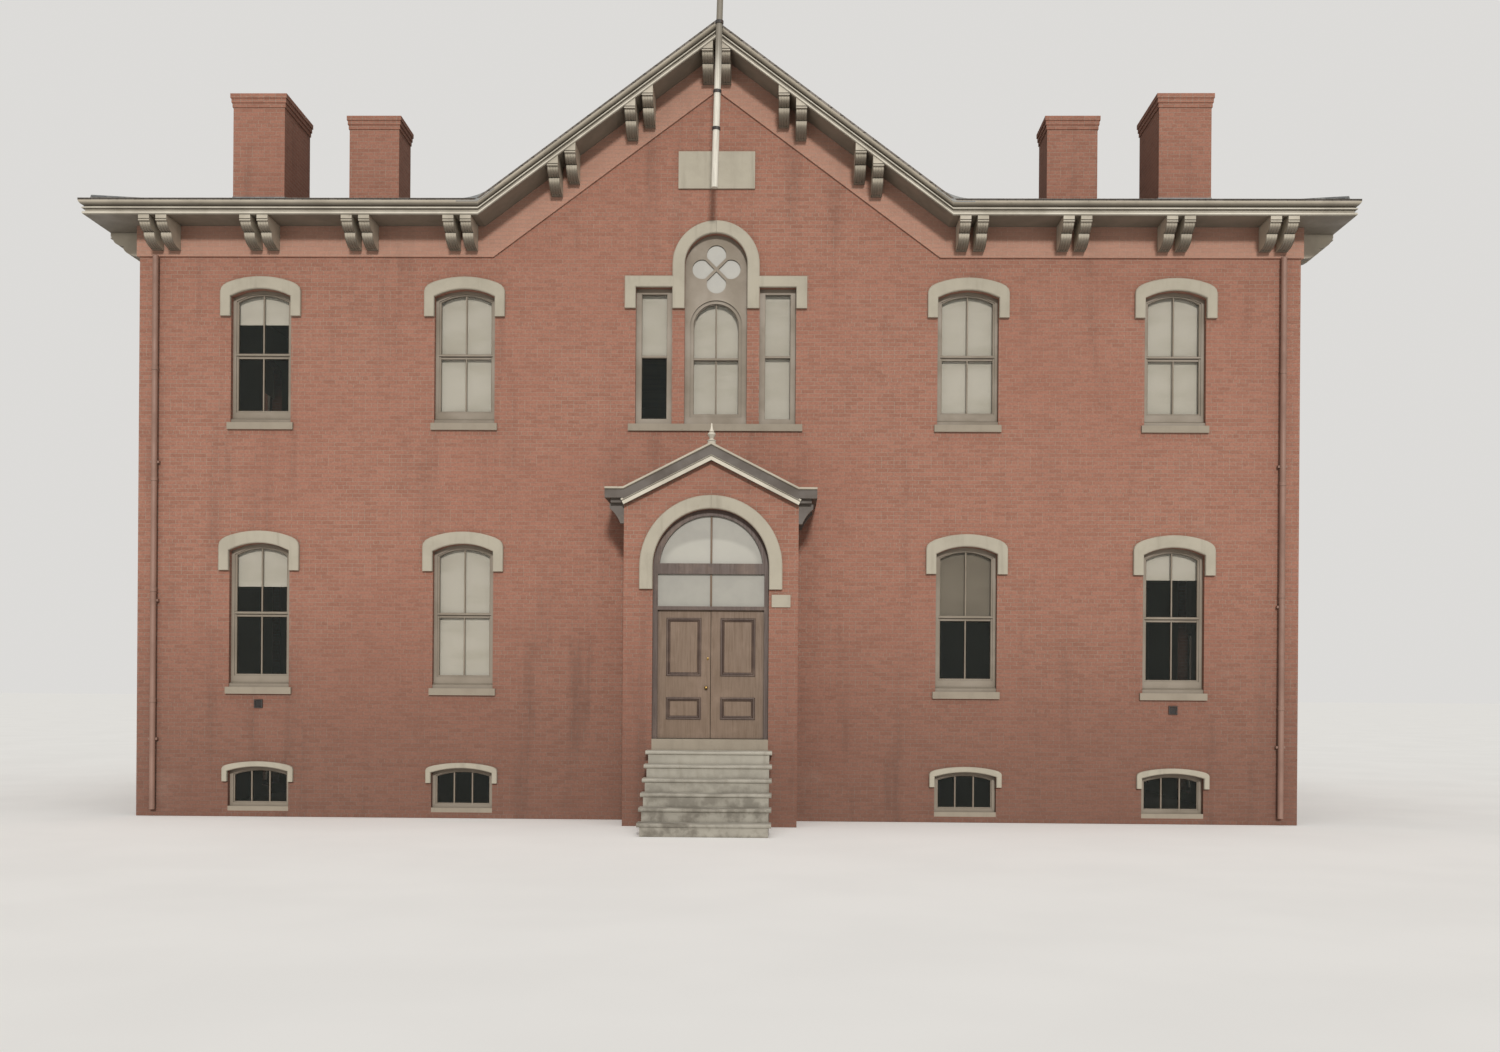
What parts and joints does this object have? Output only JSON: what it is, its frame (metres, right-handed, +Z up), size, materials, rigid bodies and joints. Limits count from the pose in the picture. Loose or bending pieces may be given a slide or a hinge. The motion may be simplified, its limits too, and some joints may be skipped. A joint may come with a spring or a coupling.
{
  "type": "school building",
  "caption": "Hollow two-storey brick schoolhouse on a raised basement, with bracketed cornice, central gable, flagpole and gabled porch with two hinged doors.",
  "frame": {"origin": "on the ground, under the middle of the building's bounding box", "axes": "+X to the right seen from the front, along the longest side; +Y into the building; +Z up"},
  "size_m": [21.56, 18.78, 17.4595],
  "materials": {
    "brick": "rough fired clay",
    "painted_stone": "matt paint on cut stone",
    "tread_stone": "worn cut stone",
    "painted_trim": "weathered oil paint",
    "roof_shingle": "weathered shingles",
    "floor_wood": "worn boards",
    "door_wood": "dull varnish",
    "clear_glass": "old clear glass",
    "pole_paint": "painted pole",
    "black_iron": "painted iron",
    "pipe_paint": "matt paint",
    "knob_brass": "dull brass"
  },
  "bodies": {
    "building": {"attic_floor": "floor_wood", "back_gable_wall": "brick", "back_wall": "brick", "chimneys": "brick", "door_frame": "door_wood", "door_hinges": "black_iron", "door_sill": "painted_stone", "downspouts": "pipe_paint", "eaves_brackets": "painted_trim", "eaves_cornice": "painted_trim", "eaves_frieze": "brick", "fanlight_glass": "clear_glass", "flagpole": "pole_paint", "flagpole_irons": "black_iron", "front_gable_wall": "brick", "front_wall_base": "brick", "front_wall_left": "brick", "front_wall_piers": "brick", "front_wall_right": "brick", "gable_brackets": "painted_trim", "gable_cornice": "painted_trim", "gable_frieze": "brick", "gable_roof": "roof_shingle", "gable_tablet": "painted_stone", "ground_floor": "floor_wood", "left_wall": "brick", "porch_arch_hood": "painted_stone", "porch_arch_wall": "brick", "porch_brackets": "painted_trim", "porch_cornice": "painted_trim", "porch_finial": "painted_trim", "porch_floor": "floor_wood", "porch_piers": "brick", "porch_plate": "painted_stone", "porch_roof": "roof_shingle", "porch_side_walls": "brick", "right_wall": "brick", "side_cornice": "painted_trim", "side_frieze": "brick", "step_treads": "tread_stone", "steps_base": "tread_stone", "triple_window_hood": "painted_stone", "triple_window_tracery": "painted_trim", "upper_floor": "floor_wood", "wall_vents": "black_iron", "window_frames": "painted_trim", "window_glass": "clear_glass", "window_hoods": "painted_stone", "window_sills": "painted_stone", "wing_roofs": "roof_shingle"},
    "left_leaf": {"left_door": "door_wood", "door_knob": "knob_brass"},
    "right_leaf": {"right_door": "door_wood"}
  },
  "joints": [
    {"name": "left_door_hinge", "type": "hinge", "parent": "building", "child": "left_leaf", "pos_m": [-0.893, -7.33, 2.5], "axis": [0, 0, 1], "range_deg": [0, 90]},
    {"name": "right_door_hinge", "type": "hinge", "parent": "building", "child": "right_leaf", "pos_m": [0.893, -7.33, 2.5], "axis": [0, 0, -1], "range_deg": [0, 90]}
  ]
}
